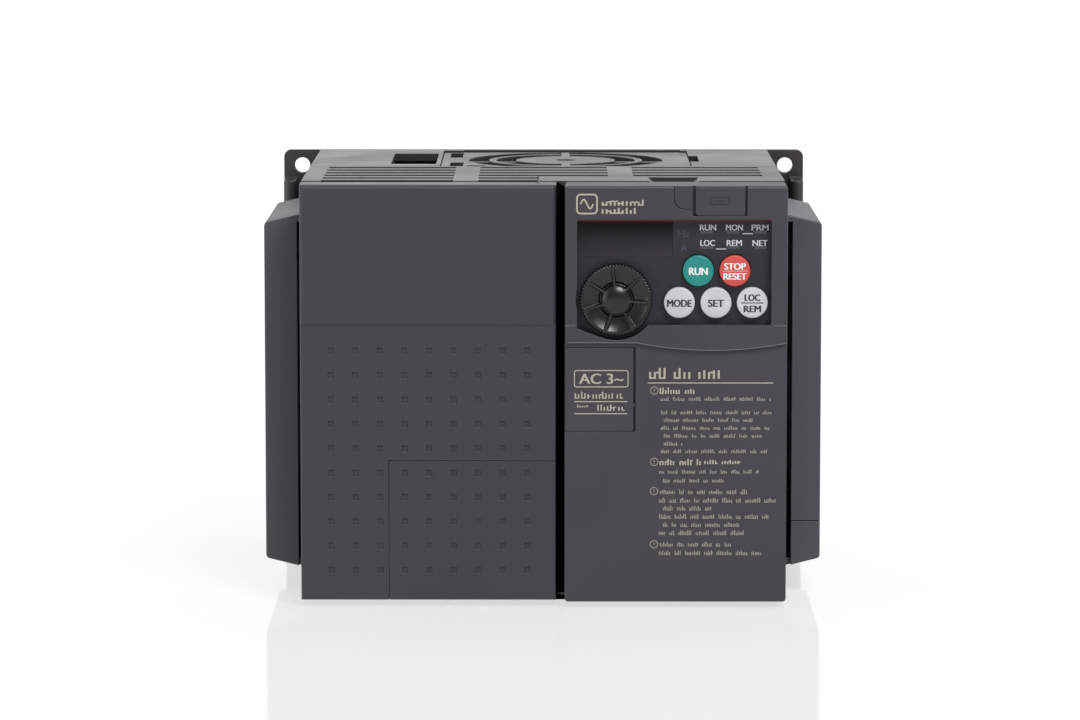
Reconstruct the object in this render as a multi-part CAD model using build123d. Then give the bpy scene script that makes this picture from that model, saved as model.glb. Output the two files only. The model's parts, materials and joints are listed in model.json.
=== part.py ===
from build123d import *
import os

# A wall-mounted variable frequency drive, in millimetres.
# X runs across the front, Y runs from the front towards the wall, Z is up.
# The origin is the centre of the overall footprint, on the underside.

# Overall envelope
height = 128.0
body_half_width = 73.0
flange_half_width = 85.0
wall_face_y = 72.25
flange_thickness = 3.0
flange_y = wall_face_y - flange_thickness
seam_y = 0.6
seam_gap = 0.3
wall = 2.5
inner_x = body_half_width - wall
inner_top = height - wall

# Mounting holes in the flange
mount_spacing_x = 158.0
mount_spacing_z = 118.0
mount_hole_radius = 2.5

# Front blocks, left and right of the vertical groove
left_front_y = -67.25
left_cover_thickness = 2.5
left_cover_back_y = left_front_y + left_cover_thickness
right_front_y = -70.25
right_step_back = 0.8
right_lower_front_y = right_front_y + right_step_back
right_plate_back_y = -66.95
groove_left_x = 4.0
groove_right_x = 6.6
right_cover_right_x = 73.3
right_cover_back_y = -54.6
housing_front_y = -54.4
cover_bottom_z = 1.9
cover_top_z = 127.75
cover_edge_radius = 1.2

# Left cover detail
left_step_z = 85.8
left_step_depth = 0.35
access_left_x = -46.5
access_top_z = 44.55
cover_clearance = 0.2
dimple_columns = 9
dimple_rows = 10
dimple_first_x = -63.8
dimple_top_z = 77.8
dimple_pitch_x = 7.39
dimple_pitch_z = 7.41
dimple_size = 2.0
dimple_depth = 0.45

# Top ventilation slots: three groups, six rows
slot_groups = ((-67.0, -27.1), (-19.6, 19.9), (27.5, 67.1))
slot_rows = 6
slot_first_y = -1.8
slot_pitch = 9.9
slot_width = 5.0
short_rows = 4
plain_area_x = -1.3
plain_area_y = -37.3

# Fan, blowing up out of the top
fan_x = 7.1
fan_y = 34.0
fan_opening_radius = 31.0
fan_cover_half_width = 39.4
fan_cover_y0 = 2.0
fan_cover_y1 = 66.0
fan_cover_top = height - 0.6
fan_cover_gaps = ((-29.5, -25.3, 5.0, 24.0), (-24.1, -18.2, 5.0, 12.5), (-30.0, -26.0, 44.0, 62.0))
fan_frame_half = 31.5
fan_frame_bottom_z = 110.5
fan_bore_radius = 29.4
fan_blade_radius = 28.6
fan_blade_count = 7
fan_rotor_radius = 14.5
fan_shaft_radius = 1.5
fan_stator_radius = 11.0

# Side covers
side_front_y = -43.0
side_back_y = 25.0
side_wall = 2.0
side_split_z = 22.5
side_gap_left_x = 75.0
side_gap_right_x = 76.1

# Keypad
window_left_x = 10.23
window_right_x = 68.5
window_bottom_z = 85.85
window_top_z = 117.7
bezel_front_y = -66.75
bezel_back_y = -64.75
panel_board_front_y = -59.6
board_thickness = 1.6
button_radius = 4.65
buttons = {
    "run_button": (46.6, 102.1),
    "stop_reset_button": (57.57, 102.1),
    "mode_button": (40.94, 92.5),
    "set_button": (51.93, 92.5),
    "local_remote_button": (62.83, 92.5),
}
lamp_columns = (49.15, 57.1, 65.2)
lamp_rows = (113.6, 109.0)

# Setting dial
dial_x = 22.0
dial_z = 93.6
dial_radius = 11.0
dial_front_y = -72.25
dial_back_y = -67.3
dial_clearance_radius = 12.2
dial_bushing_radius = 5.2
dial_rib_count = 7
dial_rib_start = 96.4
dial_knurl_count = 66
shaft_radius = 3.0
running_clearance = 0.05

# Hinged flaps in the right cover
flap_thickness = 1.6
flap_gap = 0.25
usb_flap_x = (45.74, 60.45)
usb_flap_bottom_z = 118.95
comm_flap_x = (6.8, 27.1)
comm_flap_z = (53.83, 79.0)
lip_z = 80.56

# Heatsink
fin_pitch = 6.0
fin_count = 21
fin_thickness = 1.8
sink_base_y = 3.0
sink_top_z = 104.0

# Boards and what stands on them
power_board_y = (-11.6, -10.0)
control_board_y = (-50.0, -48.4)
module_x = (-38.0, 43.0)
module_z = (34.0, 86.0)
module_screw_places = ((-30.0, 60.0), (36.0, 60.0))
capacitor_x = -50.0
capacitor_rows = (102.0, 64.0)
capacitor_radius = 17.5
sensor_columns = (-58.0, -44.0, -30.0)
choke_x = 40.0
choke_z = 104.0
choke_radius = 12.0
boss_x = 67.5
boss_z = (5.5, 122.5)
boss_radius = 3.4
standoff_places = ((14.0, 30.0), (58.0, 30.0), (14.0, 114.0), (58.0, 114.0))


def block(x0, x1, y0, y1, z0, z1):
    centre = Pos((x0 + x1) / 2, (y0 + y1) / 2, (z0 + z1) / 2)
    return centre * Box(x1 - x0, y1 - y0, z1 - z0)


def rod_y(x, z, radius, y0, y1):
    return Pos(x, (y0 + y1) / 2, z) * Rot(X=90) * Cylinder(radius, y1 - y0)


def rod_z(x, y, radius, z0, z1):
    return Pos(x, y, (z0 + z1) / 2) * Cylinder(radius, z1 - z0)


def front_prism(outline, y0, y1):
    # outline is a flat shape in X and Z
    return extrude(Plane.XZ.offset(-y1) * outline, amount=y1 - y0)


def side_prism(outline, x0, x1):
    # outline is a flat shape in Y and Z
    return extrude(Plane.YZ.offset(x0) * outline, amount=x1 - x0)


def polygon(points):
    return make_face(Polyline(*points, close=True))


def soften_front(shape, radius):
    front = shape.faces().sort_by(Axis.Y)[0]
    return fillet(front.edges(), radius)


def group(solids):
    return Compound(children=solids)


# ---- rear casing, heatsink and fan ----

def corner_bosses(y0, y1, hole_radius):
    bosses = []
    for x in (-boss_x, boss_x):
        for z in boss_z:
            bosses.append(rod_y(x, z, boss_radius, y0, y1) - rod_y(x, z, hole_radius, y0 - 1, y1 + 1))
    return bosses


def rear_casing():
    shell = block(-body_half_width, body_half_width, seam_y, flange_y, 0, height)
    shell -= block(-inner_x, inner_x, seam_y - 1, flange_y, wall, inner_top)
    flange = block(-flange_half_width, flange_half_width, flange_y, wall_face_y, 0, height)
    flange = fillet(flange.edges().filter_by(Axis.Y), 2.3)
    casing = shell + flange
    for side in (-1, 1):
        rib = Pos(side * 82.4, 60.6, 64.5) * Box(3.8, 17.3, 109)
        front_edges = rib.edges().filter_by(Axis.Z).sort_by(Axis.Y)[:2]
        casing += fillet(front_edges, 1.7)
    for boss in corner_bosses(seam_y, 12.0, 2.1):
        casing += boss
    for x in (-mount_spacing_x / 2, mount_spacing_x / 2):
        for z in (height / 2 - mount_spacing_z / 2, height / 2 + mount_spacing_z / 2):
            casing -= rod_y(x, z, mount_hole_radius, flange_y - 1, wall_face_y + 1)
    cover_left = fan_x - fan_cover_half_width - cover_clearance
    cover_right = fan_x + fan_cover_half_width + cover_clearance
    top = (inner_top - 1, height + 1)
    casing -= block(cover_left, cover_right, fan_cover_y0 - 0.2, fan_cover_y1 + 0.2, *top)
    casing -= block(-26.0, 44.5, fan_cover_y1, 68.2, *top)
    casing -= block(cover_right - 1, 49.5, 20.0, 44.0, *top)
    casing -= block(-48.1, -33.8, 10.2, 53.0, *top)
    for row in range(13):
        x = -54.0 + row * 9.0
        casing -= block(x - 1.8, x + 1.8, 14.0, 64.0, -1, wall + 1)
    for column in range(4):
        for row in range(3):
            x = -50.0 + column * 33.333
            z = 26.0 + row * 38.0
            casing -= block(x - 14.5, x + 14.5, wall_face_y - 1.2, wall_face_y + 1, z - 16.5, z + 16.5)
    return casing


def heatsink():
    sink = block(-62, 62, sink_base_y, 9.0, 4.0, sink_top_z)
    half = fin_thickness / 2
    for row in range(fin_count):
        x = (row - (fin_count - 1) / 2) * fin_pitch
        sink += block(x - half, x + half, 9.0, 66.0, 4.0, sink_top_z)
    for x, z in module_screw_places:
        sink -= rod_y(x, z, 2.0, sink_base_y - 1, 7.5)
    return sink


def fan_grille_ring(outer, inner, z0, z1):
    return rod_z(fan_x, fan_y, outer, z0, z1) - rod_z(fan_x, fan_y, inner, z0 - 1, z1 + 1)


def fan_cover():
    x0 = fan_x - fan_cover_half_width
    x1 = fan_x + fan_cover_half_width
    plate = block(x0, x1, fan_cover_y0, fan_cover_y1, inner_top, fan_cover_top)
    plate -= rod_z(fan_x, fan_y, fan_opening_radius, inner_top - 1, height)
    for gap in fan_cover_gaps:
        plate -= block(*gap, inner_top - 1, height)
    hub = rod_z(fan_x, fan_y, 15.75, inner_top, fan_cover_top)
    hub -= rod_z(fan_x, fan_y, 3.2, fan_cover_top - 0.4, height)
    grille = plate + hub + fan_grille_ring(24.5, 22.3, inner_top, fan_cover_top)
    spoke = fan_opening_radius + 0.6
    for sign in (-1, 1):
        reach = sorted((fan_y + sign * 15.0, fan_y + sign * spoke))
        grille += block(fan_x - 1.3, fan_x + 1.3, reach[0], reach[1], inner_top, fan_cover_top)
        reach = sorted((fan_x + sign * 15.0, fan_x + sign * spoke))
        grille += block(reach[0], reach[1], fan_y - 1.3, fan_y + 1.3, inner_top, inner_top + 1.3)
    for x in (x0 + 2.0, x1 - 4.0):
        grille += block(x, x + 2.0, 28.0, 40.0, 113.0, inner_top)
    return grille


def fan_housing():
    x0, x1 = fan_x - fan_frame_half, fan_x + fan_frame_half
    y0, y1 = fan_y - fan_frame_half, fan_y + fan_frame_half
    frame = block(x0, x1, y0, y1, fan_frame_bottom_z, inner_top)
    frame = fillet(frame.edges().filter_by(Axis.Z), 3.0)
    frame -= rod_z(fan_x, fan_y, fan_bore_radius, fan_frame_bottom_z - 1, inner_top + 1)
    for turn in (30, 150, 270):
        strut = Pos(20.0, 0, fan_frame_bottom_z + 0.9) * Box(20.0, 3.0, 1.8)
        frame += Pos(fan_x, fan_y, 0) * Rot(Z=turn) * strut
    return frame - rod_z(fan_x, fan_y, fan_stator_radius, fan_frame_bottom_z - 1, fan_frame_bottom_z + 3)


def fan_stator():
    z0 = fan_frame_bottom_z
    base = rod_z(fan_x, fan_y, fan_stator_radius, z0, z0 + 1.8)
    tube = rod_z(fan_x, fan_y, 3.2, z0 + 1.8, z0 + 8.5)
    core = rod_z(fan_x, fan_y, fan_stator_radius, z0 + 3.2, z0 + 7.4)
    for turn in range(4):
        slot = Pos(8.0, 0, z0 + 5.3) * Box(8.0, 2.0, 6.0)
        core -= Pos(fan_x, fan_y, 0) * Rot(Z=45 + turn * 90) * slot
    bore = rod_z(fan_x, fan_y, fan_shaft_radius + running_clearance, z0 + 0.8, z0 + 12)
    return base + tube + core - bore


def fan_blade():
    reach = fan_blade_radius + 1
    blade = Pos(reach / 2, 0, 0) * Rot(X=38) * Box(reach, 15.0, 1.3)
    ring = Cylinder(fan_blade_radius, 8.6) - Cylinder(fan_rotor_radius - 0.8, 8.6)
    return blade & ring


def fan_rotor():
    z0 = fan_frame_bottom_z
    cup = rod_z(fan_x, fan_y, fan_rotor_radius, z0 + 2.6, z0 + 11.4)
    cup -= rod_z(fan_x, fan_y, fan_rotor_radius - 1.6, z0 + 1, z0 + 9.4)
    rotor = cup + rod_z(fan_x, fan_y, fan_shaft_radius, z0 + 1.4, z0 + 9.6)
    blade = fan_blade()
    for number in range(fan_blade_count):
        turn = 360.0 * number / fan_blade_count
        rotor += Pos(fan_x, fan_y, z0 + 7.1) * Rot(Z=turn) * blade
    return rotor


def casing_screws():
    screws = []
    for x in (-boss_x, boss_x):
        for z in boss_z:
            screws.append(rod_y(x, z, 1.9, -10.0, 12.0) + rod_y(x, z, 2.9, 12.0, 14.6))
    return group(screws)


# ---- front housing ----

def vent_slots():
    cuts = []
    for row in range(slot_rows):
        y1 = slot_first_y - row * slot_pitch
        for x0, x1 in slot_groups:
            if row >= short_rows:
                x1 = min(x1, plain_area_x)
            if x1 > x0:
                cuts.append(block(x0, x1, y1 - slot_width, y1, inner_top - 1, height + 1))
    return cuts


def front_housing():
    back_y = seam_y - seam_gap
    tube = block(-body_half_width, body_half_width, housing_front_y, back_y, 0, height)
    tube -= block(-inner_x, inner_x, housing_front_y - 1, back_y + 1, wall, inner_top)
    left = block(-body_half_width, groove_left_x, left_cover_back_y, housing_front_y,
                 cover_bottom_z, cover_top_z)
    left -= block(-inner_x, groove_left_x - wall, left_cover_back_y - 1, housing_front_y + 1,
                  cover_bottom_z + wall, inner_top)
    housing = tube + left
    housing += block(groove_left_x - wall, groove_left_x, housing_front_y - 1, -14.0, wall, inner_top)
    housing += block(groove_left_x, 8.4, housing_front_y, housing_front_y + 2.0, wall, inner_top)
    for cut in vent_slots():
        housing -= cut
    for boss in corner_bosses(-12.0, back_y, 1.9):
        housing += boss
    # a shallow line round the plain area behind the right cover
    housing -= block(plain_area_x, body_half_width + 1, plain_area_y, plain_area_y + 0.4,
                     height - 0.5, height + 1)
    housing -= block(plain_area_x - 0.4, plain_area_x, left_cover_back_y - 1, plain_area_y + 0.4,
                     height - 0.5, height + 1)
    pull_top = height + 0.01
    pull_floor = height - 1.8
    pull = polygon(((31.9, pull_top), (47.4, pull_top), (44.9, pull_floor), (34.4, pull_floor)))
    housing -= front_prism(pull, housing_front_y - 1, -41.0)
    # wiring openings in the underside, and air slots behind them
    housing -= block(-66.0, -2.0, housing_front_y - 1, -20.0, -1, wall + 0.01)
    housing -= block(14.0, 60.0, housing_front_y - 1, -45.0, -1, wall + 0.01)
    for row in range(6):
        x = 14.0 + row * 9.0
        housing -= block(x - 1.8, x + 1.8, -38.0, -8.0, -1, wall + 0.01)
    return housing


def wiring_cover():
    plate = block(-65.8, -2.2, housing_front_y, -20.2, 0.3, 1.7)
    for number in range(6):
        x = -60.0 + number * 10.4
        plate -= rod_z(x, -37.0, 4.4, -1, 3)
        plate -= block(x - 1.1, x + 1.1, housing_front_y - 1, -37.0, -1, 3)
    return plate


# ---- side covers ----

def side_shell(side):
    outer = polygon(((73.0, 117.1), (85.0, 114.3), (85.0, 11.0), (73.0, 8.0)))
    inner = polygon(((72.0, 115.25), (83.0, 112.7), (83.0, 12.6), (72.0, 9.85)))
    shell = front_prism(outer, side_front_y, side_back_y)
    corners = shell.edges().filter_by(Axis.Y).sort_by(Axis.X)[2:]
    shell = fillet(corners, 1.3)
    shell = fillet(shell.faces().sort_by(Axis.Y)[0].edges().sort_by(Axis.X)[-3:], 0.5)
    shell -= front_prism(inner, side_front_y + side_wall, side_back_y - side_wall)
    gap_x = side_gap_right_x if side > 0 else side_gap_left_x
    shell -= block(72.0, gap_x, side_front_y - 1, side_front_y + side_wall + 0.5, 6.0, 114.6)
    for row in range(10):
        z = 31.0 + row * 7.4
        shell -= block(82.0, 86.0, -33.0, 15.0, z - 1.3, z + 1.3)
    if side < 0:
        shell = mirror(shell, about=Plane.YZ)
    return shell


def left_side_cover():
    return side_shell(-1)


def right_side_upper():
    return side_shell(1) - block(70.0, 90.0, -50.0, 30.0, 0.0, side_split_z + 0.15)


def right_side_lower():
    return side_shell(1) & block(70.0, 90.0, -50.0, 30.0, 0.0, side_split_z - 0.15)


# ---- left covers ----

def dimple_cuts(front_y):
    cuts = []
    for column in range(dimple_columns):
        for row in range(dimple_rows):
            x = dimple_first_x + column * dimple_pitch_x
            z = dimple_top_z - row * dimple_pitch_z
            half = dimple_size / 2
            cuts.append(block(x - half, x + half, front_y - 1, front_y + dimple_depth, z - half, z + half))
    return cuts


def left_cover_blank():
    blank = block(-body_half_width, groove_left_x, left_front_y, left_cover_back_y,
                  cover_bottom_z, cover_top_z)
    blank = soften_front(blank, cover_edge_radius)
    lower_y = left_front_y + left_step_depth
    blank -= block(-body_half_width - 1, groove_left_x + 1, left_front_y - 1, lower_y, 0, left_step_z)
    for cut in dimple_cuts(lower_y):
        blank -= cut
    return blank


def access_region(clearance):
    return block(access_left_x + clearance, groove_left_x + 1, left_front_y - 1, left_cover_back_y + 1,
                 0, access_top_z - clearance)


def left_front_cover():
    cover = left_cover_blank() - access_region(0)
    for x in (-60.0, -30.0):
        cover += block(x - 0.8, x + 0.8, left_cover_back_y, left_cover_back_y + 3.0, 60.0, 110.0)
    return cover


def lower_access_cover():
    cover = left_cover_blank() & access_region(cover_clearance)
    cover += block(-40.0, -3.0, left_cover_back_y, left_cover_back_y + 2.0, 12.0, 13.6)
    cover += block(-40.0, -3.0, left_cover_back_y, left_cover_back_y + 2.0, 34.0, 35.6)
    return cover


# ---- right cover and its flaps ----

def lip_outline():
    # everything below the curved lip across the right cover
    lip = Polyline((0.0, 0.0), (0.0, 80.62), (28.25, lip_z))
    arc = ThreePointArc((28.25, lip_z), (50.13, 78.31), (73.5, 80.52))
    close = Polyline((73.5, 80.52), (80.0, 80.52), (80.0, 0.0), (0.0, 0.0))
    return make_face(lip + arc + close)


def right_cover_shell():
    shell = block(groove_right_x, right_cover_right_x, right_front_y, right_cover_back_y,
                  cover_bottom_z, cover_top_z)
    shell = fillet(shell.edges().filter_by(Axis.Y), 1.0)
    shell = soften_front(shell, 0.9)
    swell = polygon(((right_front_y, 85.6), (right_front_y - 0.4, 80.0), (right_front_y - 0.4, 77.0),
                     (right_front_y, 77.0)))
    shell += side_prism(swell, groove_right_x + 0.9, right_cover_right_x - 0.9)
    shell -= front_prism(lip_outline(), right_front_y - 2, right_lower_front_y)
    inside = block(groove_right_x + 2, right_cover_right_x - 2, right_plate_back_y, right_cover_back_y + 1,
                   cover_bottom_z + 2, cover_top_z - 2)
    return shell - inside


def right_front_cover():
    cover = right_cover_shell()
    through = (right_front_y - 2, right_plate_back_y + 1)
    window = block(window_left_x, window_right_x, *through, window_bottom_z, window_top_z)
    window = fillet(window.edges().filter_by(Axis.Y), 0.8)
    cover -= window
    cover -= rod_y(dial_x, dial_z, dial_clearance_radius, *through)
    ramp = polygon(((window_left_x, 84.85), (dial_x - 4.17, 82.13), (dial_x, window_bottom_z + 1),
                    (window_left_x, window_bottom_z + 1)))
    cover -= front_prism(ramp, *through)
    # pocket and port opening behind each flap
    pocket_y = right_front_y + flap_thickness + flap_gap
    cover -= block(usb_flap_x[0] - 1.0, usb_flap_x[1] + 0.75, right_front_y - 1, pocket_y,
                   usb_flap_bottom_z - 0.2, cover_top_z + 1)
    cover -= block(48.8, 57.2, *through, 120.6, 125.3)
    cover -= front_prism(anchor_outline(0.2), right_front_y - 1, pocket_y)
    pocket_y = right_lower_front_y + flap_thickness + flap_gap
    cover -= block(groove_right_x - 1, comm_flap_x[1] + 0.8, right_lower_front_y - 1, pocket_y,
                   comm_flap_z[0] - 0.2, comm_flap_z[1] + 0.2)
    cover -= block(10.2, 24.8, *through, 57.7, 71.8)
    return cover


def anchor_outline(grow):
    # a tab with one rounded lower corner
    x0, x1 = 39.48 - grow, 44.7 + grow
    z0, z1 = 120.9 - grow, cover_top_z + 0.5 * (grow > 0)
    edge = Polyline((x0 + 3.0, z0), (x1, z0), (x1, z1), (x0, z1), (x0, z0 + 3.0))
    corner = RadiusArc((x0, z0 + 3.0), (x0 + 3.0, z0), -3.0)
    return make_face(edge + corner)


def usb_cover_anchor():
    return front_prism(anchor_outline(0), right_front_y, right_front_y + flap_thickness)


def usb_cover():
    x0, x1 = usb_flap_x
    plate = block(x0, x1, right_front_y, right_front_y + flap_thickness, usb_flap_bottom_z, cover_top_z)
    plate = fillet(plate.edges().filter_by(Axis.Y).group_by(Axis.Z)[0], 1.0)
    return fillet(plate.edges().group_by(Axis.Y)[0].sort_by(Axis.Z)[-1], 0.5)


def comm_port_cover():
    y0 = right_lower_front_y
    plate = block(*comm_flap_x, y0, y0 + flap_thickness, *comm_flap_z)
    latch = block(comm_flap_x[1] - 0.01, comm_flap_x[1] + 0.55, y0 + 0.3, y0 + 1.3, 61.0, 62.2)
    return plate + latch


# ---- keypad ----

def keypad_bezel():
    bezel = block(8.9, 71.0, bezel_front_y, bezel_back_y, 84.6, 118.9)
    # closes the notch under the dial from behind
    bezel += block(8.9, 34.5, bezel_front_y, bezel_back_y, 80.9, 84.6)
    through = (bezel_front_y - 1, bezel_back_y + 1)
    bezel -= rod_y(dial_x, dial_z, dial_bushing_radius, *through)
    for x, z in buttons.values():
        bezel -= rod_y(x, z, button_radius + 0.2, *through)
    bezel -= block(9.2, 38.9, bezel_front_y - 1, bezel_front_y + 1.0, 106.1, 118.7)
    bezel -= block(11.8, 36.6, *through, 107.4, 116.4)
    for x in lamp_columns:
        for z in lamp_rows:
            bezel -= block(x - 2.0, x + 2.0, *through, z - 0.5, z + 0.5)
    for x, z in ((10.6, 103.5), (69.4, 98.0), (69.4, 87.0), (40.8, 117.3)):
        bezel += rod_y(x, z, 1.5, bezel_back_y, panel_board_front_y)
    return bezel


def display_window():
    return block(9.3, 38.8, bezel_front_y - 0.1, bezel_front_y + 1.0, 106.2, 118.6)


def display_module():
    module = block(12.0, 36.4, bezel_front_y + 1.1, panel_board_front_y, 107.6, 116.2)
    for digit in range(4):
        x = 13.4 + digit * 5.6
        module -= block(x, x + 4.4, bezel_front_y, bezel_front_y + 1.3, 108.6, 115.2)
    return module


def indicator_lamps():
    lamps = []
    for x in lamp_columns:
        for z in lamp_rows:
            lamps.append(block(x - 1.95, x + 1.95, bezel_front_y - 0.05, panel_board_front_y,
                               z - 0.45, z + 0.45))
    return group(lamps)


def button(x, z):
    cap = rod_y(x, z, button_radius, -68.9, bezel_back_y + 0.15)
    cap = fillet(cap.edges().group_by(Axis.Y)[0], 0.35)
    flange = rod_y(x, z, 5.3, bezel_back_y + 0.15, bezel_back_y + 0.95)
    stem = rod_y(x, z, 1.5, bezel_back_y + 0.95, -62.4)
    return cap + flange + stem


def key_switches():
    switches = []
    for x, z in buttons.values():
        body = block(x - 3.0, x + 3.0, -61.2, panel_board_front_y, z - 3.0, z + 3.0)
        switches.append(body + rod_y(x, z, 1.8, -61.85, -61.2))
    return group(switches)


def dial_profile():
    # half section of the dial: distance from its axis, then depth
    hub = ThreePointArc((0.0, dial_front_y), (2.6, dial_front_y + 0.308), (4.5, dial_front_y + 0.95))
    dish = ThreePointArc((5.1, dial_front_y + 2.0), (7.6, dial_front_y + 2.3), (10.2, dial_front_y + 1.2))
    edge = Polyline((10.2, dial_front_y + 1.2), (10.7, dial_front_y + 1.15),
                    (dial_radius, dial_front_y + 1.5), (dial_radius, dial_back_y), (9.6, dial_back_y),
                    (9.6, -68.8), (dial_bushing_radius, -68.8), (dial_bushing_radius, dial_back_y),
                    (shaft_radius, dial_back_y), (shaft_radius, -70.9), (0.0, -70.9), (0.0, dial_front_y))
    step = Line((4.5, dial_front_y + 0.95), (5.1, dial_front_y + 2.0))
    return make_face(hub + step + dish + edge)


def setting_dial():
    # drawn with its axis along Z, then laid on the dial's own axis
    blank = revolve(Plane.XZ * dial_profile(), Axis.Z)
    for number in range(dial_knurl_count):
        turn = 360.0 * number / dial_knurl_count
        notch = Pos(dial_radius + 0.2, 0, -69.3) * Rot(Z=45) * Box(0.6, 0.6, 5.0)
        blank -= Rot(Z=turn) * notch
    blank = Rot(X=-90) * blank
    dial = Pos(dial_x, 0, dial_z) * blank
    rib = Pos(7.6, dial_front_y + 1.75, 0) * Box(5.6, 1.5, 0.7)
    for number in range(dial_rib_count):
        turn = dial_rib_start + 360.0 * number / dial_rib_count
        dial += Pos(dial_x, 0, dial_z) * Rot(Y=-turn) * rib
    return dial


def encoder_shaft():
    return rod_y(dial_x, dial_z, shaft_radius, -70.9, -62.05)


def encoder_plunger():
    return rod_y(dial_x, dial_z, 2.4, -62.0, -60.8)


def encoder_body():
    body = block(dial_x - 6.2, dial_x + 6.2, -64.4, panel_board_front_y, dial_z - 6.2, dial_z + 6.2)
    body += rod_y(dial_x, dial_z, 4.6, -64.9, -64.4)
    return body - rod_y(dial_x, dial_z, shaft_radius + running_clearance, -66.0, -60.1)


def panel_board():
    y0 = panel_board_front_y
    return block(9.8, 70.0, y0, y0 + board_thickness, 74.0, 124.6)


def usb_connector():
    shell = block(49.1, 56.9, -68.2, panel_board_front_y, 121.0, 124.9)
    shell -= block(49.6, 56.4, -69.0, -61.5, 121.5, 124.4)
    return shell + block(50.6, 55.4, -67.2, -61.5, 122.6, 123.3)


def rj45_socket():
    socket = block(10.5, 24.5, -67.2, control_board_y[0], 58.0, 71.5)
    socket -= block(11.6, 23.4, -68.0, -54.0, 60.0, 67.0)
    socket -= block(15.0, 20.0, -68.0, -60.0, 66.9, 69.0)
    for pin in range(8):
        x = 13.9 + pin * 1.05
        socket += block(x - 0.2, x + 0.2, -64.0, -54.0, 60.0, 60.5)
    return socket


# ---- control electronics behind the right cover ----

def control_frame():
    frame = block(9.0, 70.4, -56.6, -54.8, 4.6, 124.0)
    frame -= block(9.9, 25.1, -57.0, -54.0, 57.4, 72.1)
    frame -= block(13.5, 60.5, -57.0, -54.0, 11.0, 25.0)
    frame -= block(29.5, 50.5, -57.0, -54.0, 39.0, 47.0)
    frame -= block(29.5, 44.5, -57.0, -54.0, 77.5, 83.5)
    for x in (13.0, 67.0):
        for z in (77.0, 121.0):
            frame += rod_y(x, z, 2.2, -58.0, -56.6)
        for z in (39.0, 104.0):
            frame += rod_y(x, z, 2.2, -54.8, control_board_y[0])
    return frame


def control_board():
    board = block(9.0, 69.6, *control_board_y, 10.0, 121.0)
    for x, z in standoff_places:
        board -= rod_y(x, z, 1.5, -51.0, -48.0)
    return board


def control_terminal_block():
    strip = block(14.0, 60.0, -60.0, control_board_y[0], 11.5, 24.5)
    for number in range(9):
        x = 16.6 + number * 5.1
        strip -= rod_y(x, 20.5, 1.7, -61.0, -57.0)
        strip -= block(x - 1.7, x + 1.7, -58.5, -54.5, 10.0, 16.0)
    return strip


def option_connector():
    header = block(30.0, 50.0, -57.5, control_board_y[0], 39.5, 46.5)
    return header - block(31.2, 48.8, -58.5, -52.0, 41.0, 45.0)


def panel_connector():
    return block(30.0, 44.0, panel_board_front_y + board_thickness, control_board_y[0], 78.0, 83.0)


def board_standoffs():
    posts = []
    for x, z in standoff_places:
        post = rod_y(x, z, 3.0, control_board_y[1], power_board_y[0])
        posts.append(post - rod_y(x, z, 1.5, -49.0, -44.0))
    return group(posts)


def board_screws():
    screws = []
    for x, z in standoff_places:
        head = rod_y(x, z, 2.7, -51.8, -50.0)
        head -= block(x - 2.0, x + 2.0, -52.5, -51.0, z - 0.3, z + 0.3)
        screws.append(head + rod_y(x, z, 1.5, -50.0, -44.0))
    return group(screws)


def flat_cable():
    return block(30.0, 50.0, control_board_y[1], power_board_y[0], 50.0, 50.9)


# ---- power electronics ----

def power_board():
    return block(-62.0, 62.0, *power_board_y, 10.0, 118.0)


def power_module():
    module = block(*module_x, -7.6, 2.4, *module_z)
    for x, z in module_screw_places:
        module -= rod_y(x, z, 2.0, -9.0, 3.0)
    for row in range(12):
        x = -32.0 + row * 6.4
        for z in (module_z[0] + 2.0, module_z[1] - 2.0):
            module += block(x - 0.5, x + 0.5, power_board_y[1], -7.6, z - 0.4, z + 0.4)
    return module


def thermal_pad():
    pad = block(*module_x, 2.4, sink_base_y, *module_z)
    for x, z in module_screw_places:
        pad -= rod_y(x, z, 2.0, 2.0, 4.0)
    return pad


def module_screws():
    screws = []
    for x, z in module_screw_places:
        screws.append(rod_y(x, z, 2.0, -7.6, 7.0) + rod_y(x, z, 3.4, -9.6, -7.6))
    return group(screws)


def bus_capacitors():
    cans = []
    for z in capacitor_rows:
        can = rod_y(capacitor_x, z, capacitor_radius, -51.6, power_board_y[0])
        can = fillet(can.edges().group_by(Axis.Y)[0], 1.2)
        groove = rod_y(capacitor_x, z, capacitor_radius + 1, -18.0, -16.5)
        groove -= rod_y(capacitor_x, z, capacitor_radius - 0.8, -19.0, -15.0)
        cans.append(can - groove)
    return group(cans)


def inrush_relay():
    relay = block(-24.0, -6.0, -28.0, power_board_y[0], 96.0, 110.0)
    return fillet(relay.edges().group_by(Axis.Y)[0], 0.8)


def switching_transformer():
    core = block(-26.0, -4.0, -32.0, power_board_y[0], 60.0, 66.0)
    core += block(-26.0, -4.0, -32.0, power_board_y[0], 76.0, 82.0)
    return core + block(-22.0, -8.0, -29.0, -14.0, 66.0, 76.0)


def choke_coil():
    ring = rod_y(choke_x, choke_z, choke_radius, -27.0, power_board_y[0])
    ring -= rod_y(choke_x, choke_z, 5.0, -28.0, -10.0)
    return fillet(ring.edges().group_by(Axis.Y)[0], 1.5)


def film_capacitor():
    return block(20.0, 44.0, -24.0, power_board_y[0], 14.0, 24.0)


def current_sensors():
    sensors = []
    for x in sensor_columns:
        sensor = block(x - 5.0, x + 5.0, -24.0, power_board_y[0], 34.0, 44.0)
        sensors.append(sensor - rod_y(x, 39.0, 2.4, -25.0, -13.0))
    return group(sensors)


def charge_lamp():
    return rod_y(-14.0, 50.0, 2.5, -20.0, power_board_y[0])


def terminal_pole_x(number):
    return -61.0 + number * 6.5


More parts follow.
